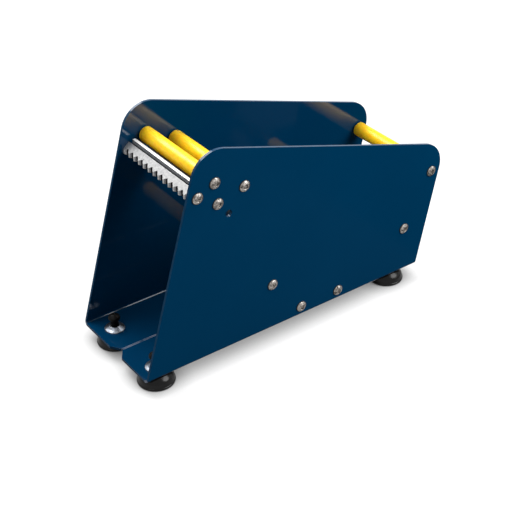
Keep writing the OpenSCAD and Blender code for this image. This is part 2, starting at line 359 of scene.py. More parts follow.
def lay_flat(name: str, near: Point, far: Point, height: float) -> Piece:
    """Lay a flat rectangle that belongs to the studio.

    Args:
        name: Its name.
        near: Its least X and Y.
        far: Its greatest X and Y.
        height: Its height above the table.

    Returns:
        The new object.
    """
    mesh = bmesh.new()
    corners = (near, (far[0], near[1]), far, (near[0], far[1]))
    mesh.faces.new([mesh.verts.new((x, y, height)) for x, y in corners])
    piece = finish_mesh(name, mesh)
    return piece


def ease_edges(piece: Piece, width: float, segments: int = 2, material: int = -1) -> None:
    """Break a piece's sharp edges with a small bevel.

    Args:
        piece: The piece.
        width: The bevel's width in metres.
        segments: Faces across the bevel.
        material: Which of the piece's materials the bevel takes, or -1 for its neighbours'.
    """
    bevel = piece.modifiers.new("Eased edges", "BEVEL")
    bevel.width = width
    bevel.segments = segments
    bevel.limit_method = "ANGLE"
    bevel.angle_limit = math.radians(SHARP_ANGLE)
    bevel.use_clamp_overlap = True
    bevel.material = material
    weighted = piece.modifiers.new("Flat faces stay flat", "WEIGHTED_NORMAL")
    weighted.weight = 100
    weighted.keep_sharp = True


def dress(piece: Piece, node: str, materials: Sequence[Material], body: str = "frame") -> None:
    """Give a piece its materials and its body, and hide what it stands for.

    Args:
        piece: The piece.
        node: The frame's node that it replaces.
        materials: Its materials, in slot order.
        body: The frame's body that it rides on.
    """
    for material in materials:
        piece.data.materials.append(material)
    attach(piece, body)
    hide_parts(node)
    log.info("%s rides on %s and stands for %s", piece.name, body, node)


# Shader groups


class Graph:
    """A short way to add and join the nodes of one tree."""

    def __init__(self, tree: Tree) -> None:
        """Start on a tree."""
        self.tree = tree

    @classmethod
    def of_material(cls, name: str) -> tuple[Material, Graph, Node]:
        """Make a material to work on.

        Args:
            name: The material's name.

        Returns:
            The material, its graph and its shader.
        """
        material = bpy.data.materials.new(name)
        material.use_nodes = True
        return material, cls(material.node_tree), material.node_tree.nodes["Principled BSDF"]

    def add(self, kind: str, inputs: Inputs | None = None, **settings: object) -> Node:
        """Add a node.

        Args:
            kind: The node's type.
            inputs: What each named or numbered input takes: a value, or another node's output.
            **settings: Properties of the node itself.

        Returns:
            The new node.
        """
        node = self.tree.nodes.new(kind)
        for name, value in settings.items():
            setattr(node, name, value)
        self.feed(node.inputs, inputs or {})
        return node

    def feed(self, sockets: Sockets, inputs: Inputs) -> None:
        """Link outputs to a node's inputs, or set the inputs' own values.

        Args:
            sockets: The node's inputs.
            inputs: What each named or numbered input takes: a value, or another node's output.
        """
        for name, value in inputs.items():
            if isinstance(value, Socket):
                self.tree.links.new(value, sockets[name])
            else:
                sockets[name].default_value = value

    def blend_colours(self, share: Socket, first: object, second: object) -> Socket:
        """Mix two colours by a share.

        Args:
            share: How much of the second colour there is.
            first: The first colour, or an output that gives it.
            second: The second colour, or an output that gives it.

        Returns:
            The result's socket.
        """
        node = self.add("ShaderNodeMix", data_type="RGBA")
        wanted = {("Factor", "VALUE"): share, ("A", "RGBA"): first, ("B", "RGBA"): second}
        for number, socket in enumerate(node.inputs):
            if (socket.name, socket.type) in wanted:
                self.feed(node.inputs, {number: wanted[socket.name, socket.type]})
        return next(socket for socket in node.outputs if socket.type == "RGBA")

    def effect(self, group: Tree, inputs: Inputs) -> bpy.types.NodeOutputs:
        """Place a node group and return its outputs."""
        return self.add("ShaderNodeGroup", inputs, node_tree=group).outputs

    def calculate(self, operation: str, first: object, second: object) -> Socket:
        """Combine two values and return the result's socket."""
        return self.add("ShaderNodeMath", {0: first, 1: second}, operation=operation).outputs[0]

    def spread(self, value: Socket, start: object, end: object, top: float = 1.0) -> Socket:
        """Spread what lies between two levels over 0 to a top, and return the result's socket."""
        inputs = {"Value": value, "From Min": start, "From Max": end, "To Max": top}
        return self.add("ShaderNodeMapRange", inputs).outputs["Result"]

    def noise(self, position: Socket, scale: object, detail: float, roughness: float = 0.5) -> Socket:
        """Add noise that drifts between 0 and 1, and return its socket."""
        inputs = {"Vector": position, "Scale": scale, "Detail": detail, "Roughness": roughness}
        return self.add("ShaderNodeTexNoise", inputs).outputs["Fac"]

    def facing_up(self) -> Socket:
        """Return the socket of how far the surface faces up, from -1 to 1."""
        normal = self.add("ShaderNodeNewGeometry").outputs["Normal"]
        return self.add("ShaderNodeSeparateXYZ", {0: normal}).outputs["Z"]


class ShaderGroups:
    """Effects that several finishes share, each a node group that is built once."""

    bare_share: float = 0.6
    dust_grains_per_metre: float = 900.0

    @staticmethod
    def start(
        name: str, inputs: dict[str, str], outputs: dict[str, str]
    ) -> tuple[Graph, dict[str, Socket], Sockets]:
        """Open a new group.

        Args:
            name: The group's name.
            inputs: Each input's name and socket kind.
            outputs: Each output's name and socket kind.

        Returns:
            The group's graph, its inputs' sockets by name and the sockets that it puts out through.
        """
        tree = bpy.data.node_groups.new(name, "ShaderNodeTree")
        for direction, sockets in (("INPUT", inputs), ("OUTPUT", outputs)):
            for socket, kind in sockets.items():
                tree.interface.new_socket(socket, in_out=direction, socket_type=f"NodeSocket{kind}")
        graph = Graph(tree)
        entry = graph.add("NodeGroupInput")
        return graph, {socket.name: socket for socket in entry.outputs}, graph.add("NodeGroupOutput").inputs

    @cached_property
    def clouds(self) -> Tree:
        """Soft patches: a mask that drifts between 0 and 1, and a colour mixed by it.

        Returns:
            The group.
        """
        graph, given, out = self.start(
            "Soft clouds",
            {"Position": "Vector", "Size": "Float", "Amount": "Float",
             "Colour": "Color", "Cloud Colour": "Color"},
            {"Colour": "Color", "Mask": "Float"},
        )
        scale = graph.calculate("DIVIDE", 1.0, given["Size"])
        drift = graph.noise(given["Position"], scale, detail=4.0, roughness=0.55)
        mask = graph.spread(drift, start=0.35, end=0.65)
        share = graph.calculate("MULTIPLY", mask, given["Amount"])
        colour = graph.blend_colours(share, given["Colour"], given["Cloud Colour"])
        graph.feed(out, {"Colour": colour, "Mask": mask})
        return graph.tree

    @cached_property
    def relief(self) -> Tree:
        """Fine unevenness, stretched where the piece was rolled or turned.

        Returns:
            The group.
        """
        graph, given, out = self.start(
            "Fine relief", {"Position": "Vector", "Size": "Float", "Stretch": "Vector"}, {"Height": "Float"}
        )
        inputs = {0: given["Position"], 1: given["Stretch"]}
        pulled = graph.add("ShaderNodeVectorMath", inputs, operation="DIVIDE").outputs[0]
        scale = graph.calculate("DIVIDE", 1.0, given["Size"])
        graph.feed(out, {"Height": graph.noise(pulled, scale, detail=2.0)})
        return graph.tree

    @cached_property
    def specks(self) -> Tree:
        """Scattered small specks, as of grit or casting pores, as a mask.

        Returns:
            The group.
        """
        graph, given, out = self.start(
            "Specks", {"Position": "Vector", "Spacing": "Float", "Speck Size": "Float"}, {"Mask": "Float"}
        )
        scale = graph.calculate("DIVIDE", 1.0, given["Spacing"])
        inputs = {"Vector": given["Position"], "Scale": scale, "Randomness": 1.0}
        cells = graph.add("ShaderNodeTexVoronoi", inputs).outputs
        reach = graph.calculate("DIVIDE", given["Speck Size"], given["Spacing"])
        near = graph.spread(cells["Distance"], start=reach, end=0.0)
        draw = graph.add("ShaderNodeSeparateColor", {"Color": cells["Color"]}).outputs["Red"]
        picked = graph.calculate("GREATER_THAN", draw, self.bare_share)
        graph.feed(out, {"Mask": graph.calculate("MULTIPLY", near, picked)})
        return graph.tree

    @cached_property
    def dust(self) -> Tree:
        """Thin dust that settles where a surface faces up, as a mask.

        Returns:
            The group.
        """
        graph, given, out = self.start(
            "Settled dust", {"Position": "Vector", "Amount": "Float"}, {"Mask": "Float"}
        )
        level = graph.spread(graph.facing_up(), start=0.3, end=1.0)
        grain = graph.noise(given["Position"], self.dust_grains_per_metre, detail=3.0)
        lying = graph.calculate("MULTIPLY", level, graph.spread(grain, start=0.5, end=0.75))
        graph.feed(out, {"Mask": graph.calculate("MULTIPLY", lying, given["Amount"])})
        return graph.tree


# Finishes


@dataclass(frozen=True)
class Specks:
    """Small specks scattered over a finish."""

    colour: Colour
    spacing: float
    size: float


@dataclass(frozen=True)
class Finish:
    """A surface finish: its colours, gloss and fine relief.

    The clouds have a size and an amount, and drift between two colours and two roughnesses. The
    relief is a bump of a size and a depth, stretched along the axes where that isn't 1. Specks and
    dust are laid on top, and a coat of lacquer lies over the whole piece or over what faces up.
    """

    name: str
    colour: Colour
    cloud_colour: Colour
    clouds: tuple[float, float]
    roughness: tuple[float, float]
    relief: tuple[float, float]
    metallic: float = 0.0
    specular: float = 0.5
    coat: float = 0.0
    coat_roughness: float = 0.12
    coat_faces_up: bool = False
    stretch: Place = (1.0, 1.0, 1.0)
    specks: Specks | None = None
    dust_amount: float = 0.0
    dust_colour: Colour = srgb(205, 203, 198)

    def build(self, groups: ShaderGroups) -> Material:
        """Make the material.

        Args:
            groups: The shared shader groups.

        Returns:
            The finished material.
        """
        material, graph, shader = Graph.of_material(self.name)
        position = graph.add("ShaderNodeTexCoord").outputs["Object"]
        (cloud_size, amount), (relief_size, depth) = self.clouds, self.relief
        smooth, rough = self.roughness
        clouds = graph.effect(groups.clouds, {
            "Position": position, "Size": cloud_size, "Amount": amount,
            "Colour": self.colour, "Cloud Colour": self.cloud_colour,
        })
        inputs = {"Value": clouds["Mask"], "To Min": smooth, "To Max": rough}
        roughness = graph.add("ShaderNodeMapRange", inputs).outputs["Result"]
        inputs = {"Position": position, "Size": relief_size, "Stretch": self.stretch}
        relief = graph.effect(groups.relief, inputs)
        inputs = {"Height": relief["Height"], "Distance": depth, "Strength": 1.0}
        normal = graph.add("ShaderNodeBump", inputs).outputs["Normal"]
        graph.feed(shader.inputs, {
            "Base Color": self.lay_on(graph, groups, position, clouds["Colour"]),
            "Roughness": roughness, "Normal": normal,
            "Metallic": self.metallic, "Specular IOR Level": self.specular,
        })
        if self.coat:
            weight = self.coat
            if self.coat_faces_up:
                weight = graph.spread(graph.facing_up(), start=0.4, end=0.8, top=self.coat)
            graph.feed(shader.inputs, {"Coat Weight": weight, "Coat Roughness": self.coat_roughness})
        return material

    def lay_on(self, graph: Graph, groups: ShaderGroups, position: Socket, colour: Socket) -> Socket:
        """Lay specks and dust over the base colour.

        Args:
            graph: The material's graph.
            groups: The shared shader groups.
            position: The texture position's socket.
            colour: The base colour's socket.

        Returns:
            The socket of the colour with specks and dust.
        """
        specks = self.specks
        if specks is not None:
            inputs = {"Position": position, "Spacing": specks.spacing, "Speck Size": specks.size}
            mask = graph.effect(groups.specks, inputs)["Mask"]
            colour = graph.blend_colours(mask, colour, specks.colour)
        if self.dust_amount:
            inputs = {"Position": position, "Amount": self.dust_amount}
            mask = graph.effect(groups.dust, inputs)["Mask"]
            colour = graph.blend_colours(mask, colour, self.dust_colour)
        return colour


class Finishes:
    """Every finish of the machine, built on the shared groups."""

    def __init__(self) -> None:
        """Build the materials."""
        groups = ShaderGroups()
        blue, deep_blue = srgb(0, 50, 83), srgb(0, 45, 76)
        self.paint_outside = Finish(
            "Blue enamel outside", srgb(0, 55, 89), srgb(0, 50, 82), clouds=(90 * MM, 0.35),
            roughness=(0.16, 0.24), relief=(1.8 * MM, 0.004 * MM), specular=0.005,
        ).build(groups)
        self.paint_inside = Finish(
            "Blue enamel inside", blue, deep_blue, clouds=(90 * MM, 0.35),
            roughness=(0.05, 0.1), relief=(1.8 * MM, 0.002 * MM), dust_amount=0.003,
        ).build(groups)
        self.paint_edge = Finish(
            "Blue enamel edge", srgb(14, 60, 92), srgb(4, 50, 80), clouds=(5 * MM, 0.8),
            roughness=(0.12, 0.2), relief=(0.8 * MM, 0.004 * MM), specular=0.02,
            coat=0.6, coat_faces_up=True,
        ).build(groups)
        self.paint_bend = Finish(
            "Blue enamel bend", blue, deep_blue, clouds=(20 * MM, 0.35),
            roughness=(0.08, 0.14), relief=(1.8 * MM, 0.002 * MM),
            coat=1.0, coat_roughness=0.06,
        ).build(groups)
        # A light band along the seam of the two flanges: a painted highlight for light caught on the seam's
        # edges.
        self.painted_seam_highlight = Finish(
            "Worn enamel at the seam", srgb(112, 120, 138), srgb(30, 62, 92), clouds=(7 * MM, 0.9),
            roughness=(0.3, 0.4), relief=(0.8 * MM, 0.004 * MM), specular=0.2,
        ).build(groups)
        self.sleeve = Finish(
            "Yellow sleeve", srgb(254, 214, 34), srgb(252, 182, 6), clouds=(5 * MM, 0.8),
            roughness=(0.24, 0.38), relief=(4 * MM, 0.1 * MM), specular=0.3,
            stretch=(1.6, 1.0, 1.0),
        ).build(groups)
        self.steel = Finish(
            "Turned steel", srgb(176, 174, 170), srgb(150, 148, 145), clouds=(5 * MM, 0.5),
            roughness=(0.22, 0.34), relief=(0.25 * MM, 0.003 * MM), metallic=1.0,
            stretch=(1.0, 9.0, 9.0),
        ).build(groups)
        self.bar = Finish(
            "Milled aluminium", srgb(187, 187, 186), srgb(134, 135, 138), clouds=(2.4 * MM, 0.6),
            roughness=(0.36, 0.5), relief=(0.5 * MM, 0.012 * MM), metallic=0.5,
            stretch=(5.0, 1.0, 1.0),
            specks=Specks(srgb(84, 82, 80), spacing=7 * MM, size=0.9 * MM),
        ).build(groups)
        # Painted half shade on the teeth's flanks, part of the way into the notches.
        self.painted_half_shade_teeth = Finish(
            "Sawn aluminium teeth", srgb(150, 150, 151), srgb(104, 104, 107), clouds=(1.8 * MM, 0.8),
            roughness=(0.4, 0.6), relief=(0.4 * MM, 0.02 * MM), metallic=0.2,
            stretch=(1.0, 1.0, 5.0),
        ).build(groups)
        # Painted half shade on the middle band of the guide strip's front.
        self.painted_half_shade_strip = Finish(
            "Half-lit strip front", srgb(132, 135, 140), srgb(96, 99, 104), clouds=(3 * MM, 0.7),
            roughness=(0.5, 0.65), relief=(0.5 * MM, 0.006 * MM), metallic=0.2, specular=0.1,
            stretch=(5.0, 1.0, 1.0),
        ).build(groups)
        # Painted shade: the depths of the notches, the bar's top round the strip, and the top and bottom
        # bands of the strip's front.
        self.painted_deep_shade = Finish(
            "Deep notches", srgb(34, 34, 36), srgb(22, 22, 24), clouds=(1.6 * MM, 0.7),
            roughness=(0.55, 0.7), relief=(0.5 * MM, 0.01 * MM), metallic=0.1, specular=0.05,
        ).build(groups)
        self.strip = Finish(
            "Drawn aluminium strip", srgb(236, 236, 235), srgb(205, 204, 202), clouds=(7 * MM, 0.5),
            roughness=(0.3, 0.45), relief=(0.5 * MM, 0.006 * MM), metallic=0.4,
            stretch=(8.0, 1.0, 1.0),
        ).build(groups)
        self.screw = Finish(
            "Plated screw steel", srgb(168, 162, 156), srgb(66, 62, 58), clouds=(1.7 * MM, 1.0),
            roughness=(0.42, 0.6), relief=(0.7 * MM, 0.03 * MM), metallic=1.0,
        ).build(groups)
        # Painted shade round the rims of the screw heads, darker than the rest of the head.
        self.painted_screw_rim_shade = Finish(
            "Screw rim in its own shade", srgb(66, 64, 62), srgb(44, 43, 42), clouds=(1.5 * MM, 0.8),
            roughness=(0.45, 0.6), relief=(0.6 * MM, 0.01 * MM), metallic=0.6, specular=0.2,
        ).build(groups)
        self.rubber = Finish(
            "Black rubber", srgb(3, 3, 3), srgb(8, 7, 7), clouds=(6 * MM, 0.5),
            roughness=(0.16, 0.24), relief=(0.6 * MM, 0.006 * MM), specular=0.19,
            dust_amount=0.006,
        ).build(groups)
        self.stem = Finish(
            "Matt black stem", srgb(5, 5, 5), srgb(12, 11, 10), clouds=(2 * MM, 0.5),
            roughness=(0.3, 0.4), relief=(0.6 * MM, 0.01 * MM), specular=0.07,
            dust_amount=0.006,
        ).build(groups)
        self.chrome = Finish(
            "Polished chrome", srgb(140, 144, 150), srgb(90, 98, 110), clouds=(3 * MM, 0.8),
            roughness=(0.27, 0.36), relief=(1.2 * MM, 0.001 * MM), metallic=1.0,
        ).build(groups)


# The machine


@dataclass(frozen=True)
class PlateShape:
    """Side view of a plate, measured back and up from its lower front corner."""

    base_length: float = 305.4 * MM
    front_height: float = 208.9 * MM
    rear_height: float = 124.6 * MM
    front_lean: float = 15.7
    rear_lean: float = 11.6
    corner_radius: float = 25.4 * MM
    heel_radius: float = 2.0 * MM
    bar_screw_back: float = 17.2 * MM
    bar_screw_drop: float = 56.3 * MM
    bar_screw_gap: float = 23.0 * MM
    bar_slope: float = 31.5

    def front_top(self) -> Vector:
        """Front upper corner before it is rounded."""
        return Vector((self.front_at(self.front_height), self.front_height))

    def rear_top(self) -> Vector:
        """Rear upper corner before it is rounded."""
        lean = self.rear_height * math.tan(math.radians(self.rear_lean))
        return Vector((self.base_length + lean, self.rear_height))

    def front_at(self, height: float) -> float:
        """Distance back of the front edge at a height."""
        return height * math.tan(math.radians(self.front_lean))

    def rear_at(self, height: float) -> float:
        """Distance back of the rear edge at a height, with its rounded heel.

        Args:
            height: Height above the plate's underside.

        Returns:
            The distance back from the lower front corner.
        """
        straight = self.base_length + height * math.tan(math.radians(self.rear_lean))
        half = math.radians(90 - self.rear_lean) / 2
        reach = self.heel_radius * math.tan(half)
        centre_back = self.base_length - reach
        if height >= self.heel_radius * (1 + math.sin(math.radians(-self.rear_lean))):
            return straight
        return centre_back + math.sqrt(max(0.0, self.heel_radius**2 - (self.heel_radius - height) ** 2))

    def bar_screws(self) -> tuple[Vector, Vector]:
        """Places of the front and the rear screw of the tear bar."""
        rear = self.front_top() + Vector((self.bar_screw_back, -self.bar_screw_drop))
        return rear - heading(-self.bar_slope) * self.bar_screw_gap, rear


@dataclass
class Machine:
    """Places of the frame that the sub-assemblies share."""

    frame: dict
    shape: PlateShape = PlateShape()
    sheet: float = 2.5 * MM

    def __post_init__(self) -> None:
        """Measure the frame."""
        low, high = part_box("right_side_plate")
        self.front_y = low.y
        self.base_z = low.z
        self.outer_x = high.x
        self.inner_x = self.outer_x - self.sheet

    def side_point(self, x: float, at: Vector) -> Vector:
        """Point in the frame's axes for a place back and up from the plates' lower front corner."""
        return Vector((x, self.front_y + at.x, self.base_z + at.y))

    def roller_axes(self) -> dict[str, Vector]:
        """Each roller's name and the middle of its axis."""
        joints = self.frame["joints"]
        return {joint["child"].removesuffix("_roller"): Vector(joint["pos_m"]) for joint in joints}

    def screw_places(self) -> list[Vector]:
        """Middle points across the machine of all the screws' axes."""
        bar = [self.side_point(0.0, at) for at in self.shape.bar_screws()]
        return list(self.roller_axes().values()) + bar


@dataclass
class Assembly:
    """A part of the machine that builds its pieces and dresses them in its finishes."""

    machine: Machine
    finishes: Finishes


@dataclass
class SidePlates(Assembly):
    """The two bent steel plates, each one sheet with a wall, a bend and a foot flange."""

    bend_radius: float = 2.0 * MM
    flange_cut_x: float = 10.0 * MM
    flange_cut_y: float = 7.0 * MM
    screw_hole_radius: float = 2.75 * MM
    edge_break: float = 0.5 * MM
    bend_steps: int = 10
    hole_steps: int = 40
    corner_turn: float = 3.0
    glossy_from: float = 0.3
    # Width of the painted highlight along the seam.
    seam_highlight_width: float = 0.95 * MM

    def build(self) -> None:
        """Build and dress both plates."""
        looks = self.finishes
        for side in Side:
            node = f"{side.name.lower()}_side_plate"
            piece = self.sheet(node, side)
            self.thicken(piece)
            materials = [
                looks.paint_outside, looks.paint_inside, looks.paint_edge,
                looks.paint_bend, looks.paint_bend, looks.painted_seam_highlight,
            ]
            dress(piece, node, materials)

    def thicken(self, piece: Piece) -> None:
        """Give a sheet its thickness inwards, and break its edges.

        Args:
            piece: The plate's outer surface.
        """
        solid = piece.modifiers.new("Sheet thickness", "SOLIDIFY")
        solid.thickness = self.machine.sheet
        solid.offset = -1.0
        solid.use_even_offset = True
        solid.use_quality_normals = True
        solid.material_offset = PlateFinish.INSIDE.value
        solid.material_offset_rim = PlateFinish.EDGE.value
        ease_edges(piece, self.edge_break, segments=3, material=PlateFinish.EDGE.value)

    def sheet(self, node: str, side: Side) -> Piece:
        """Build the outer surface of a plate as a single open surface.

        Args:
            node: The plate's node in the frame.
            side: Which plate it is.

        Returns:
            The new object.
        """
        mesh = bmesh.new()
        wall = self.wall(mesh, side)
        fold = self.bend(mesh, side, wall[:2])
        self.flange(mesh, node, side, fold)
        piece = finish_mesh(node + "_sheet", mesh)
        largest = max(piece.data.polygons, key=lambda face: abs(face.normal.x) * face.area)
        if largest.normal.x * side.value < 0:
            piece.data.flip_normals()
        return piece

    def vertex(self, mesh: Mesh, x: float, back: float, height: float) -> bmesh.types.BMVert:
        """Add a point given across, and back and up from the plates' lower front corner."""
        return mesh.verts.new(self.machine.side_point(x, Vector((back, height))))

    def hole(self, mesh: Mesh, middle: Vector, axis: Axis, radius: float) -> Ring:
        """Add the points round a hole."""
        return add_rings(mesh, [(radius, 0.0)], middle, axis, self.hole_steps)[0]

    def wall(self, mesh: Mesh, side: Side) -> Ring:
        """Add the wall above the bend, with its holes.

        Args:
            mesh: The plate's mesh.
            side: Which plate it is.

        Returns:
            The wall's outline, from its lower front point and its lower rear point on.
        """
        machine, shape = self.machine, self.machine.shape
        low = self.bend_radius + machine.sheet
        front, rear = shape.front_top(), shape.rear_top()
        outline = trace(
            [Corner(shape.front_at(low), low), Corner(shape.rear_at(low), low),
             Corner(rear.x, rear.y, shape.corner_radius), Corner(front.x, front.y, shape.corner_radius)],
            closed=True, turn=self.corner_turn,
        )
        x = side.value * machine.outer_x
        rim = [self.vertex(mesh, x, back, height) for back, height in outline]
        holes = [(at, self.screw_hole_radius) for at in machine.screw_places()]
        for mount in machine.frame["record"]["mounts"]:
            if mount["name"] == f"spare_hole_{side.name.lower()}":
                holes.append((Vector(mount["pos_m"]), mount["dims"]["r_mm"] * MM))
        loops = [self.hole(mesh, Vector((x, at.y, at.z)), Axis.RIGHT, radius) for at, radius in holes]
        self.fill(mesh, [rim, *loops])
        return rim

    def bend(self, mesh: Mesh, side: Side, fold: Ring) -> Ring:
        """Add the bend, in rows from the wall down to the flange.

        Args:
            mesh: The plate's mesh.
            side: Which plate it is.
            fold: The wall's lower front and lower rear points.

        Returns:
            The flange's front and rear points along the bend.
        """
        shape, outer_x = self.machine.shape, self.machine.outer_x
        radius = self.bend_radius + self.machine.sheet
        for step in range(1, self.bend_steps + 1):
            turn = math.pi / 2 * step / self.bend_steps
            height = radius * (1 - math.sin(turn))
            x = side.value * (outer_x - radius * (1 - math.cos(turn)))
            ends = (shape.front_at(height), shape.rear_at(height))
            below = [self.vertex(mesh, x, back, height) for back in ends]
            face = mesh.faces.new([fold[0], fold[1], below[1], below[0]])
            if step > self.glossy_from * self.bend_steps:
                face.material_index = PlateFinish.BEND.value
            fold = below
        return fold

    def flange(self, mesh: Mesh, node: str, side: Side, fold: Ring) -> None:
        """Add the foot flange with its cut corners, its foot holes and a band of painted highlight along its
        seam.

        Args:
            mesh: The plate's mesh.
            node: The plate's node in the frame.
            side: Which plate it is.
            fold: The flange's front and rear points along the bend.
        """
        low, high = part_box(node)
        seam = low.x if side is Side.RIGHT else high.x
        front, rear = fold
        end = rear.co.y - self.machine.front_y

        def cut_points(reach: float) -> Ring:
            """Add the front and rear points of the corner cuts at a distance from the seam."""
            cut = self.flange_cut_y * (1 - reach / self.flange_cut_x)
            return [self.vertex(mesh, seam + side.value * reach, back, 0) for back in (cut, end - cut)]

        cut_front, cut_rear = cut_points(self.flange_cut_x)
        band_front, band_rear = cut_points(self.seam_highlight_width)
        seam_front, seam_rear = cut_points(0.0)
        # The band next to the seam carries the painted highlight.
        band = mesh.faces.new([band_rear, seam_rear, seam_front, band_front])
        band.material_index = PlateFinish.SEAM.value
        feet = [Vector((foot.x, foot.y, self.machine.base_z)) for foot in Feet.places(side)]
        loops = [self.hole(mesh, foot, Axis.UP, Feet.hole_radius) for foot in feet]
        self.fill(mesh, [[front, rear, cut_rear, band_rear, band_front, cut_front], *loops])

    @staticmethod
    def fill(mesh: Mesh, loops: Sequence[Ring]) -> None:
        """Fill a flat outline and leave its holes open.

        Args:
            mesh: The mesh that the loops are in.
            loops: The outline's points, then those of each hole.
        """
        points = [vertex for loop in loops for vertex in loop]
        spans = [max(p.co[axis] for p in points) - min(p.co[axis] for p in points) for axis in range(3)]
        first, second = (axis for axis in range(3) if axis != spans.index(min(spans)))
        flat = [Vector((point.co[first], point.co[second])) for point in points]
        outlines, start = [], 0
        for loop in loops:
            order = list(range(start, start + len(loop)))
            around = sum(flat[a].cross(flat[b]) for a, b in zip(order, order[1:] + order[:1]))
            outlines.append(order if around > 0 else order[::-1])
            start += len(loop)
        filled = delaunay_2d_cdt(flat, [], outlines, FILL_WITHOUT_HOLES, FILL_PRECISION)
        faces, origins = filled[2], filled[3]
        for face in faces:
            mesh.faces.new([points[origins[index][0]] for index in face])


@dataclass
class Rollers(Assembly):
    """The seven yellow sleeves and the rods that they turn on."""

    rod_radius: float = 5.0 * MM
    rod_chamfer: float = 0.4 * MM
    tap_radius: float = 2.55 * MM
    tap_depth: float = 10.4 * MM
    end_round: float = 0.7 * MM
    bore_chamfer: float = 0.3 * MM
    bore_gap: float = 0.05 * MM

    def build(self) -> None:
        """Build every sleeve and rod."""
        for name, middle in self.machine.roller_axes().items():
            self.sleeve(name, middle)
            self.rod(name, middle)

    @staticmethod
    def both_ends(near: Sequence[Corner], length: float) -> list[Corner]:
        """Section of a turned piece whose far end mirrors its near one."""
        return [*near, *(Corner(corner.u, length - corner.v, corner.radius) for corner in reversed(near))]

    def sleeve(self, name: str, middle: Vector) -> None:
        """Build one sleeve: a tube with rounded outer edges and broken inner ones.

        Args:
            name: The roller's name.
            middle: The middle of the sleeve's axis.
        """
        node = f"{name}_sleeve"
        low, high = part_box(node)
        bore = self.rod_radius + self.bore_gap
        near = [
            Corner(bore, self.bore_chamfer), Corner(bore + self.bore_chamfer, 0),
            Corner((high.z - low.z) / 2, 0, self.end_round),
        ]
        piece = turn_piece(
            f"{node}_tube", trace(self.both_ends(near, high.x - low.x), closed=True, turn=15.0),
            [Vector((low.x, middle.y, middle.z))], Axis.RIGHT, closed=True, segments=96, sharp_angle=50.0,
        )
        dress(piece, node, [self.finishes.sleeve], body=f"{name}_roller")

    def rod(self, name: str, middle: Vector) -> None:
        """Build one rod, with its ends chamfered round the tapped holes.

        Args:
            name: The roller's name.
            middle: The middle of the rod's axis.
        """
        node = f"{name}_rod"
        low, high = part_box(node)
        tap, outside, chamfer = self.tap_radius, self.rod_radius, self.rod_chamfer
        near = [
            Corner(0, self.tap_depth), Corner(tap, self.tap_depth), Corner(tap, chamfer),
            Corner(tap + chamfer, 0), Corner(outside - chamfer, 0), Corner(outside, chamfer),
        ]
        piece = turn_piece(
            f"{node}_bar", trace(self.both_ends(near, high.x - low.x), closed=False),
            [Vector((low.x, middle.y, middle.z))], Axis.RIGHT, closed=False,
        )
        dress(piece, node, [self.finishes.steel])


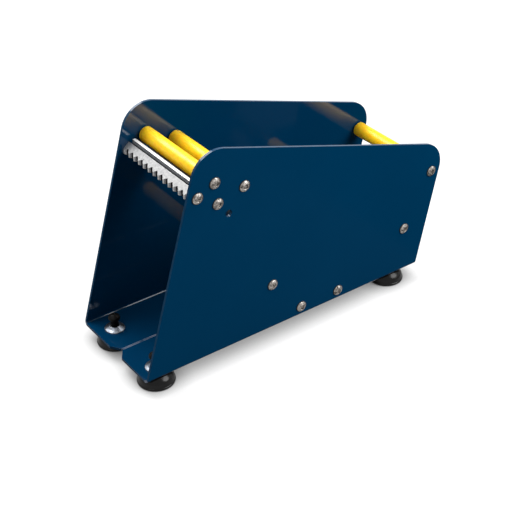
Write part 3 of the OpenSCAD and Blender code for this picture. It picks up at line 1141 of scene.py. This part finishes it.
@dataclass
class TearBar(Assembly):
    """The toothed bar at the front and the guide strip that stands in its slot."""

    over: float = 4.9 * MM
    under: float = 3.6 * MM
    tail: float = 6.8 * MM
    nose: float = 2.3 * MM
    face_slope: float = 42.0
    face_length: float = 8.3 * MM
    pitch: float = 7.6 * MM
    depth: float = 2.2 * MM
    flat: float = 0.8 * MM
    wall: float = 4.0 * MM
    strip_back: float = 1.2 * MM
    strip_width: float = 3.2 * MM
    strip_rise: float = 4.3 * MM
    slot_depth: float = 1.3 * MM
    slot_gap: float = 0.05 * MM
    strip_end_gap: float = 4.2 * MM
    shade_band: float = 0.7 * MM
    edge_break: float = 0.15 * MM
    # Shares of the notch depth at which the flanks' painted half shade and painted shade begin.
    flank_steps: tuple[float, float] = (0.22, 0.6)
    level_turn: float = 0.5
    top_slack: float = 0.1 * MM
    upright: float = 0.2
    end_on: float = 0.99

    def on_bar(self, back: float, up: float) -> Vector:
        """Place a point by the slope of the bar.

        Args:
            back: Distance from the front screw down the slope.
            up: Distance square to the slope.

        Returns:
            The point, back and up from the plates' lower front corner.
        """
        shape = self.machine.shape
        nose_screw, _ = shape.bar_screws()
        return nose_screw + heading(-shape.bar_slope) * back + heading(90 - shape.bar_slope) * up

    def build(self) -> None:
        """Build the bar and its strip."""
        looks = self.finishes
        bar, strip = self.bar(), self.strip()
        # Each piece's second and third materials are painted half shade and painted shade.
        for piece, easing, plain, half_lit, node in (
            (bar, self.edge_break, looks.bar, looks.painted_half_shade_teeth, "tear_bar"),
            (strip, 2 * self.edge_break, looks.strip, looks.painted_half_shade_strip, "guide_strip"),
        ):
            ease_edges(piece, easing)
            dress(piece, node, [plain, half_lit, looks.painted_deep_shade])

    def stations(self) -> list[tuple[float, float]]:
        """Find the places across the bar where its front edge turns.

        Returns:
            Each place's X, with the depth of the notch there.
        """
        half = self.machine.inner_x
        count = math.floor(2 * half / self.pitch)
        notch_half = (self.pitch - self.flat) / 2
        shares = [0.0, *self.flank_steps]
        found = [(-half, 0.0)]
        for number in range(count):
            middle = (number - (count - 1) / 2) * self.pitch
            found += [(middle - (1 - share) * notch_half, share * self.depth) for share in shares]
            found.append((middle, self.depth))
            found += [(middle + (1 - share) * notch_half, share * self.depth) for share in reversed(shares)]
        return [*found, (half, 0.0)]

    def section(self, depth: float) -> list[Vector]:
        """End view of the bar where its teeth are cut back by a depth.

        Args:
            depth: How far the notch reaches back from the tips.

        Returns:
            The section's points, from the top of the sloping face round by the front.
        """
        shape = self.machine.shape
        top = self.on_bar(-self.nose, self.over)
        point = top - heading(self.face_slope) * self.face_length
        tip = point + Vector((depth, depth * math.tan(math.radians(self.face_slope))))
        toe = Vector((tip.x, point.y - self.wall))
        below = self.on_bar(0, -self.under)
        heel = self.on_bar((below.y - toe.y) / math.sin(math.radians(shape.bar_slope)), -self.under)
        rear = shape.bar_screw_gap + self.tail
        front_side, rear_side = self.strip_sides(self.slot_gap)
        return [
            top, tip, toe, heel, self.on_bar(rear, -self.under), self.on_bar(rear, self.over),
            self.level(rear_side, self.over), self.level(rear_side, self.over - self.slot_depth),
            self.level(front_side, self.over - self.slot_depth), self.level(front_side, self.over),
        ]

    def strip_sides(self, gap: float) -> tuple[float, float]:
        """Distances back of the upright strip's front and rear, widened by a gap."""
        foot = self.on_bar(self.strip_back - self.nose, self.over)
        return foot.x - gap, foot.x + self.strip_width + gap

    def level(self, back: float, up: float) -> Vector:
        """Find the point of a line along the slope that is a distance back.

        Args:
            back: The distance back from the plates' lower front corner.
            up: How far the line runs over the bar's screws, square to the slope.

        Returns:
            The point, back and up from the plates' lower front corner.
        """
        start = self.on_bar(0, up)
        fall = (back - start.x) * math.tan(math.radians(self.machine.shape.bar_slope))
        return Vector((back, start.y - fall))

    def add_sections(self, mesh: Mesh, sections: Iterable[tuple[float, Sequence[Vector]]]) -> list[Ring]:
        """Add end views at their places across the machine, joined by faces.

        Args:
            mesh: The mesh to add to.
            sections: Each place across and its end view.

        Returns:
            The rings of the sections.
        """
        side_point = self.machine.side_point
        rings = [[mesh.verts.new(side_point(x, at)) for at in section] for x, section in sections]
        skin_rings(mesh, rings, closed=False)
        return rings

    def bar(self) -> Piece:
        """Build the bar through the sections at all its stations.

        Returns:
            The new object.
        """
        mesh = bmesh.new()
        rings = self.add_sections(mesh, ((x, self.section(depth)) for x, depth in self.stations()))
        mesh.faces.new(rings[0])
        mesh.faces.new(rings[-1])
        self.paint_bar_shade(mesh)
        bmesh.ops.dissolve_limit(
            mesh, angle_limit=math.radians(self.level_turn), verts=mesh.verts, edges=mesh.edges,
            delimit={"MATERIAL"},
        )
        return finish_mesh("tear_bar_milled", mesh)

    def paint_bar_shade(self, mesh: Mesh) -> None:
        """Paint shade on the bar's top and the notches' depths, and half shade on the flanks between the
        depths and the tips.

        Args:
            mesh: The bar's mesh.
        """
        machine = self.machine
        top = machine.side_point(0, self.on_bar(-self.nose, self.over))
        tip = top.y - self.face_length * math.cos(math.radians(self.face_slope))
        half_lit_from, dark_from = self.flank_steps
        mesh.normal_update()
        for face in mesh.faces:
            if abs(face.normal.x) > self.end_on:
                continue
            middle = face.calc_center_median()
            upper = machine.side_point(0, self.level(middle.y - machine.front_y, self.over)).z
            share = (middle.y - tip) / self.depth
            on_flank = abs(face.normal.z) < self.upright and share < 1
            on_top = middle.y > top.y and abs(middle.z - upper) < self.top_slack
            if on_top or (on_flank and share > dark_from):
                face.material_index = BarFinish.DARK.value
            elif on_flank and share > half_lit_from:
                face.material_index = BarFinish.HALF_LIT.value

    def strip(self) -> Piece:
        """Build the guide strip, a little shorter than the bar.

        Returns:
            The new object.
        """
        front_side, rear_side = self.strip_sides(0.0)
        low = self.over - self.slot_depth
        foot = self.level(front_side, self.over).y
        high = foot + self.strip_rise
        lower_rear = [self.level(front_side, low), self.level(rear_side, low), Vector((rear_side, high))]
        front = [Vector((front_side, up)) for up in (high, high - self.shade_band, foot + self.shade_band)]
        reach = self.machine.inner_x - self.strip_end_gap
        mesh = bmesh.new()
        rings = self.add_sections(mesh, ((x, [*lower_rear, *front]) for x in (-reach, reach)))
        mesh.faces.ensure_lookup_table()
        # The strip's front is split into bands of painted shade, painted half shade and painted shade, from
        # the top down.
        front_faces = mesh.faces[len(lower_rear):]
        for band, finish in zip(front_faces, (BarFinish.DARK, BarFinish.HALF_LIT, BarFinish.DARK)):
            band.material_index = finish.value
        for ring in rings:
            mesh.faces.new(ring)
        return finish_mesh("guide_strip_flat", mesh)


@dataclass
class SideScrews(Assembly):
    """The button-head socket screws in both plates."""

    thread_radius: float = 2.5 * MM
    thread_chamfer: float = 0.5 * MM
    engagement: float = 10.0 * MM
    nose_engagement: float = 4.2 * MM
    head_radius: float = 5.3 * MM
    head_edge: float = 0.6 * MM
    head_rise: float = 2.75 * MM
    head_round: float = 0.2 * MM
    rim_shade: float = 0.5 * MM
    crown_steps: int = 12
    mouth_gap: float = 0.2 * MM
    mouth_drop: float = 0.25 * MM
    socket_width: float = 4.0 * MM
    socket_depth: float = 1.5 * MM
    socket_cone: float = 0.5 * MM
    segments: int = 72
    sharp_angle: float = 28.0

    def build(self) -> None:
        """Build the nine screws of each side as one piece of separate solids."""
        nose_screw = self.machine.side_point(0.0, self.machine.shape.bar_screws()[0])
        for side in Side:
            node = f"{side.name.lower()}_side_screws"
            mesh = bmesh.new()
            for at in self.machine.screw_places():
                short = (at - nose_screw).length < WELD
                self.screw(mesh, at, side, self.nose_engagement if short else self.engagement)
            self.paint_rim_shade(mesh, side)
            piece = finish_mesh(f"{node}_heads", mesh, self.sharp_angle)
            dress(piece, node, [self.finishes.screw, self.finishes.painted_screw_rim_shade])

    def paint_rim_shade(self, mesh: Mesh, side: Side) -> None:
        """Paint shade on the heads' rims.

        Args:
            mesh: The mesh of one side's screws.
            side: Which side it is.
        """
        places = self.machine.screw_places()
        for face in mesh.faces:
            middle = face.calc_center_median()
            rise = side.value * middle.x - self.machine.outer_x
            reach = min(math.hypot(middle.y - at.y, middle.z - at.z) for at in places)
            shaded = rise < self.head_edge or reach > self.head_radius - self.rim_shade
            if rise > 0 and reach > self.socket_width and shaded:
                face.material_index = ScrewFinish.RIM.value

    def screw(self, mesh: Mesh, at: Vector, side: Side, engagement: float) -> None:
        """Add one screw: thread, domed head and hexagon socket.

        Args:
            mesh: The mesh to add to.
            at: The middle of its axis.
            side: Which plate it sits on.
            engagement: Length of its thread past the plate.
        """
        axis = Axis.RIGHT if side is Side.RIGHT else Axis.LEFT
        origin = Vector((side.value * self.machine.outer_x, at.y, at.z))
        tail = -(self.machine.sheet + engagement)
        thread, head = self.thread_radius, self.head_radius
        rise = self.head_rise - self.head_edge
        crown = (head**2 + rise**2) / (2 * rise)
        mouth = self.socket_width / math.sqrt(3) + self.mouth_gap
        outer, inner = (math.asin(radius / crown) for radius in (head, mouth))
        angles = [outer + (inner - outer) * step / self.crown_steps for step in range(self.crown_steps + 1)]
        dome = [(crown * math.sin(angle), self.head_rise - crown * (1 - math.cos(angle))) for angle in angles]
        profile = [
            (0, tail), (thread - self.thread_chamfer, tail), (thread, tail + self.thread_chamfer),
            (thread, 0), (head - self.head_round, 0), (head, self.head_round), *dome,
        ]
        rings = add_rings(mesh, profile, origin, axis, self.segments)
        bottom = self.head_rise - self.socket_depth
        for along in (dome[-1][1] - self.mouth_drop, bottom):
            rings.append([
                mesh.verts.new(place(origin, axis, self.hexagon(angle), along, angle))
                for angle in full_turn(self.segments)
            ])
        rings.append([mesh.verts.new(place(origin, axis, 0, bottom - self.socket_cone, 0))])
        skin_rings(mesh, rings, closed=False)

    def hexagon(self, angle: float) -> float:
        """Distance from the axis to the socket's wall in a direction."""
        within = (angle + math.pi / 6) % (math.pi / 3) - math.pi / 6
        return self.socket_width / 2 / math.cos(within)


@dataclass
class Feet(Assembly):
    """The four suction cups with their ferrules and flat washers."""

    rim_radius: float = 17.0 * MM
    bead_radius: float = 1.2 * MM
    lip_radius: float = 14.7 * MM
    hollow_radius: float = 9.5 * MM
    hollow_shoulder: float = 3.6 * MM
    hollow_height: float = 4.5 * MM
    rim_step: float = 0.5 * MM
    rim_height: float = 2.6 * MM
    dome_radius: float = 15.6 * MM
    dome_height: float = 7.6 * MM
    dome_top_radius: float = 11.6 * MM
    stem_radius: float = 3.7 * MM
    stem_height: float = 10.4 * MM
    head_radius: float = 5.4 * MM
    head_height: float = 4.9 * MM
    head_waist: float = 0.55
    head_flat: float = 2.4 * MM
    dimple_radius: float = 1.5 * MM
    dimple_floor: float = 1.1 * MM
    dimple_side: float = 0.9 * MM
    dimple_depth: float = 1.0 * MM
    soft: float = 0.2 * MM
    washer_thickness: float = 1.2 * MM
    washer_radius: float = 9.5 * MM
    washer_round: float = 0.25 * MM
    hole_radius: float = 3.95 * MM
    ferrule_radius: float = 9.25 * MM
    ferrule_height: float = 3.6 * MM
    ferrule_metal: float = 0.8 * MM
    flare: Point = (2.6 * MM, 1.5 * MM)
    inner_flare: Point = (2.2 * MM, 2.3 * MM)

    @staticmethod
    def nodes() -> list[tuple[str, Side]]:
        """Names of the cups' nodes, with their sides."""
        ends = ("front", "rear")
        return [(f"{end}_{side.name.lower()}_suction_cup", side) for end in ends for side in Side]

    @staticmethod
    def places(side: Side | None = None) -> list[Vector]:
        """Find the points on the table under the feet.

        Args:
            side: The side whose feet are wanted, or None for both.

        Returns:
            The points, from the front to the rear.
        """
        found = []
        for node, of_side in Feet.nodes():
            if side in (None, of_side):
                low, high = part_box(node)
                found.append(Vector(((low.x + high.x) / 2, (low.y + high.y) / 2, 0.0)))
        return found

    def build(self) -> None:
        """Build the cups, ferrules and washers."""
        looks = self.finishes
        for (node, _), at in zip(self.nodes(), self.places()):
            piece = turn_piece(
                f"{node}_rubber", self.cup_profile(), [at], Axis.UP,
                closed=False, segments=96, sharp_angle=40.0,
            )
            for face in piece.data.polygons:
                if face.center.z > self.machine.base_z:
                    face.material_index = CupFinish.STEM.value
            dress(piece, node, [looks.rubber, looks.stem])
        for name, node, profile, slot, material in (
            ("foot_ferrules_bell", "foot_ferrules", self.ferrule_profile(), Slot.CHROME, looks.chrome),
            ("foot_washers_flat", "foot_washers", self.washer_profile(), Slot.STEEL, looks.steel),
        ):
            piece = turn_piece(name, profile, self.places(), Axis.UP, closed=True, segments=80)
            dress(piece, node, [material])

    def cup_profile(self) -> list[Point]:
        """Draw the half section of a cup, from the middle of its hollow to the dimple in its head.

        Returns:
            The section's points, each a radius and a height.
        """
        cup_top = self.machine.base_z - self.washer_thickness
        stem_top = self.machine.base_z + self.machine.sheet + self.stem_height
        head_top = stem_top + self.head_height
        bead, soft = self.bead_radius, self.soft
        hollow = [
            Corner(0, self.hollow_height), Corner(self.hollow_radius, self.hollow_shoulder, 8 * MM),
            Corner(self.lip_radius, 0, soft),
        ]
        cup = [
            Corner(self.rim_radius, 0, bead), Corner(self.rim_radius, 2 * bead, 0.9 * bead),
            Corner(self.rim_radius - self.rim_step, self.rim_height, soft),
            Corner(self.dome_radius, self.dome_height, 9 * MM),
            Corner(self.dome_top_radius, cup_top, 0.6 * MM),
        ]
        stem = [
            Corner(self.stem_radius, cup_top, soft), Corner(self.stem_radius, stem_top, soft),
            Corner(self.head_radius, stem_top, 0.7 * MM),
            Corner(self.head_radius, stem_top + self.head_waist * self.head_height, 2.0 * MM),
            Corner(self.head_flat, head_top, 2.2 * MM),
        ]
        dimple = [
            Corner(self.dimple_radius, head_top, 0.3 * MM),
            Corner(self.dimple_floor, head_top - self.dimple_side, 0.4 * MM),
            Corner(0, head_top - self.dimple_depth),
        ]
        return trace([*hollow, *cup, *stem, *dimple], closed=False, turn=10.0)

    def ferrule_profile(self) -> list[Point]:
        """Draw the half section of a ferrule: a bell of sheet metal with a rolled foot.

        Returns:
            The section's points, each a radius and a height.
        """
        floor = self.machine.base_z + self.machine.sheet
        rim, metal, hole = self.ferrule_radius, self.ferrule_metal, self.hole_radius
        top = floor + self.ferrule_height
        (out, down), (inner_out, inner_down) = self.flare, self.inner_flare
        return trace(
            [
                Corner(rim - 1.1 * metal, floor), Corner(rim, floor, 0.3 * MM),
                Corner(rim, floor + metal, 0.4 * MM), Corner(hole + out, top - down, 3 * MM),
                Corner(hole + metal, top, 0.35 * MM), Corner(hole, top, self.soft),
                Corner(hole, top - 1.2 * metal), Corner(hole + inner_out, top - inner_down, 2 * MM),
            ],
            closed=True, turn=12.0,
        )

    def washer_profile(self) -> list[Point]:
        """Draw the half section of a flat washer with rolled edges.

        Returns:
            The section's points, each a radius and a height.
        """
        low, high = self.machine.base_z - self.washer_thickness, self.machine.base_z
        outside, rolled = self.washer_radius, self.washer_round
        return trace(
            [
                Corner(self.hole_radius, low), Corner(outside, low, rolled),
                Corner(outside, high, rolled), Corner(self.hole_radius, high),
            ],
            closed=True, turn=20.0,
        )


# The studio


@dataclass(frozen=True)
class SoftBox:
    """A large soft lamp that points at the middle of the machine."""

    name: str
    place: Place
    size: float
    watts: float
    aim: Place = (0.0, 0.0, 0.1)

    def build(self) -> None:
        """Add the lamp."""
        data = bpy.data.lights.new(self.name, "AREA")
        data.shape = "DISK"
        data.size = self.size
        data.energy = self.watts
        lamp = bpy.data.objects.new(self.name, data)
        lamp.location = self.place
        lamp.rotation_euler = (Vector(self.aim) - Vector(self.place)).to_track_quat("-Z", "Y").to_euler()
        bpy.context.scene.collection.objects.link(lamp)


@dataclass
class Studio:
    """A pale floor, soft lamps and the camera at the photograph's angle."""

    camera_place: Place = (748.3 * MM, -560.13 * MM, 679.9 * MM)
    camera_azimuth: float = 53.67
    camera_elevation: float = 33.99
    lens: float = 85.62
    sensor: float = 36.0
    floor_half: float = 6.0
    floor_drop: float = 0.1 * MM
    floor_lift: float = 0.87
    floor_tone: float = 0.2
    contact_reach: float = 18 * MM
    contact_depth: float = 1.4
    card_near: Point = (-60 * MM, 168 * MM)
    card_far: Point = (600 * MM, 700 * MM)
    card_height: float = 0.5 * MM
    card_colour: Colour = (0.0, 0.002, 0.004, 1.0)
    ambient: float = 0.08
    lamps: tuple[SoftBox, ...] = (
        SoftBox("Key softbox", (1.08, 0.78, 0.99), size=1.1, watts=26.0),
        SoftBox("Top softbox", (0.26, 0.86, 1.5), size=1.0, watts=5.0),
        SoftBox("Left softbox", (-1.07, -0.11, 1.22), size=1.0, watts=18.0),
        SoftBox("Front softbox", (0.35, -1.05, 1.33), size=0.8, watts=4.0),
        SoftBox("Overhead softbox", (-0.66, -0.3, 1.55), size=0.9, watts=19.0),
    )

    def build(self) -> None:
        """Build the studio."""
        self.camera()
        self.floor()
        self.card()
        self.world()
        for lamp in self.lamps:
            lamp.build()
        bpy.context.scene.view_settings.view_transform = "Standard"

    def camera(self) -> None:
        """Put the camera where the photograph was taken from."""
        data = bpy.data.cameras.new("Camera")
        data.lens = self.lens
        data.sensor_width = self.sensor
        camera = bpy.data.objects.new("Camera", data)
        camera.location = self.camera_place
        camera.rotation_euler = (
            math.radians(90 - self.camera_elevation), 0.0, math.radians(self.camera_azimuth)
        )
        bpy.context.scene.collection.objects.link(camera)
        bpy.context.scene.camera = camera

    @staticmethod
    def seen_directly(graph: Graph) -> Socket:
        """Tell rays that show or mirror a thing from light that falls on it.

        Args:
            graph: The graph of the floor or the world.

        Returns:
            The socket of a share: 1 for the first, 0 for the second.
        """
        rays = graph.add("ShaderNodeLightPath").outputs
        mirrored = graph.calculate("MAXIMUM", rays["Is Glossy Ray"], rays["Is Transmission Ray"])
        return graph.calculate("MAXIMUM", rays["Is Camera Ray"], mirrored)

    def floor(self) -> None:
        """Lay a pale floor that looks white and keeps the machine's shadow."""
        half, tone = self.floor_half, self.floor_tone
        floor = lay_flat("floor", (-half, -half), (half, half), -self.floor_drop)
        material, graph, _ = Graph.of_material("Pale floor")
        graph.tree.nodes.clear()
        matt = graph.add("ShaderNodeBsdfDiffuse", {"Color": (tone, tone, tone, 1.0)})
        contact = graph.add("ShaderNodeAmbientOcclusion", {"Distance": self.contact_reach})
        near = graph.calculate("POWER", contact.outputs["AO"], self.contact_depth)
        strength = graph.calculate("MULTIPLY", near, self.floor_lift)
        shown = graph.calculate("MULTIPLY", self.seen_directly(graph), strength)
        lift = graph.add("ShaderNodeEmission", {"Color": WHITE, "Strength": shown})
        both = graph.add("ShaderNodeAddShader", {0: matt.outputs[0], 1: lift.outputs[0]})
        graph.add("ShaderNodeOutputMaterial", {"Surface": both.outputs[0]})
        floor.data.materials.append(material)

    def card(self) -> None:
        """Lay a dark card behind the machine, which only gloss mirrors, as a flag does in a studio."""
        card = lay_flat("dark_card", self.card_near, self.card_far, self.card_height)
        material, graph, shader = Graph.of_material("Dark card")
        graph.feed(shader.inputs, {"Base Color": self.card_colour, "Specular IOR Level": 0.0})
        card.data.materials.append(material)
        for ray in ("camera", "diffuse", "transmission", "volume_scatter", "shadow"):
            setattr(card, f"visible_{ray}", False)

    def world(self) -> None:
        """Make the world white where it is seen, and softer where it only lights the machine."""
        world = bpy.data.worlds.new("Studio")
        bpy.context.scene.world = world
        world.use_nodes = True
        graph = Graph(world.node_tree)
        extra = graph.calculate("MULTIPLY", self.seen_directly(graph), 1 - self.ambient)
        strength = graph.calculate("ADD", extra, self.ambient)
        graph.feed(world.node_tree.nodes["Background"].inputs, {"Color": WHITE, "Strength": strength})


def main() -> None:
    """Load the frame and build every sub-assembly round it."""
    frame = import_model()
    machine = Machine(frame)
    finishes = Finishes()
    Studio().build()
    for assembly in (SidePlates, Rollers, TearBar, SideScrews, Feet):
        log.info("building %s", assembly.__name__)
        assembly(machine, finishes).build()


if __name__ == "__main__":
    logging.basicConfig(level=logging.INFO, format="%(message)s")
    main()
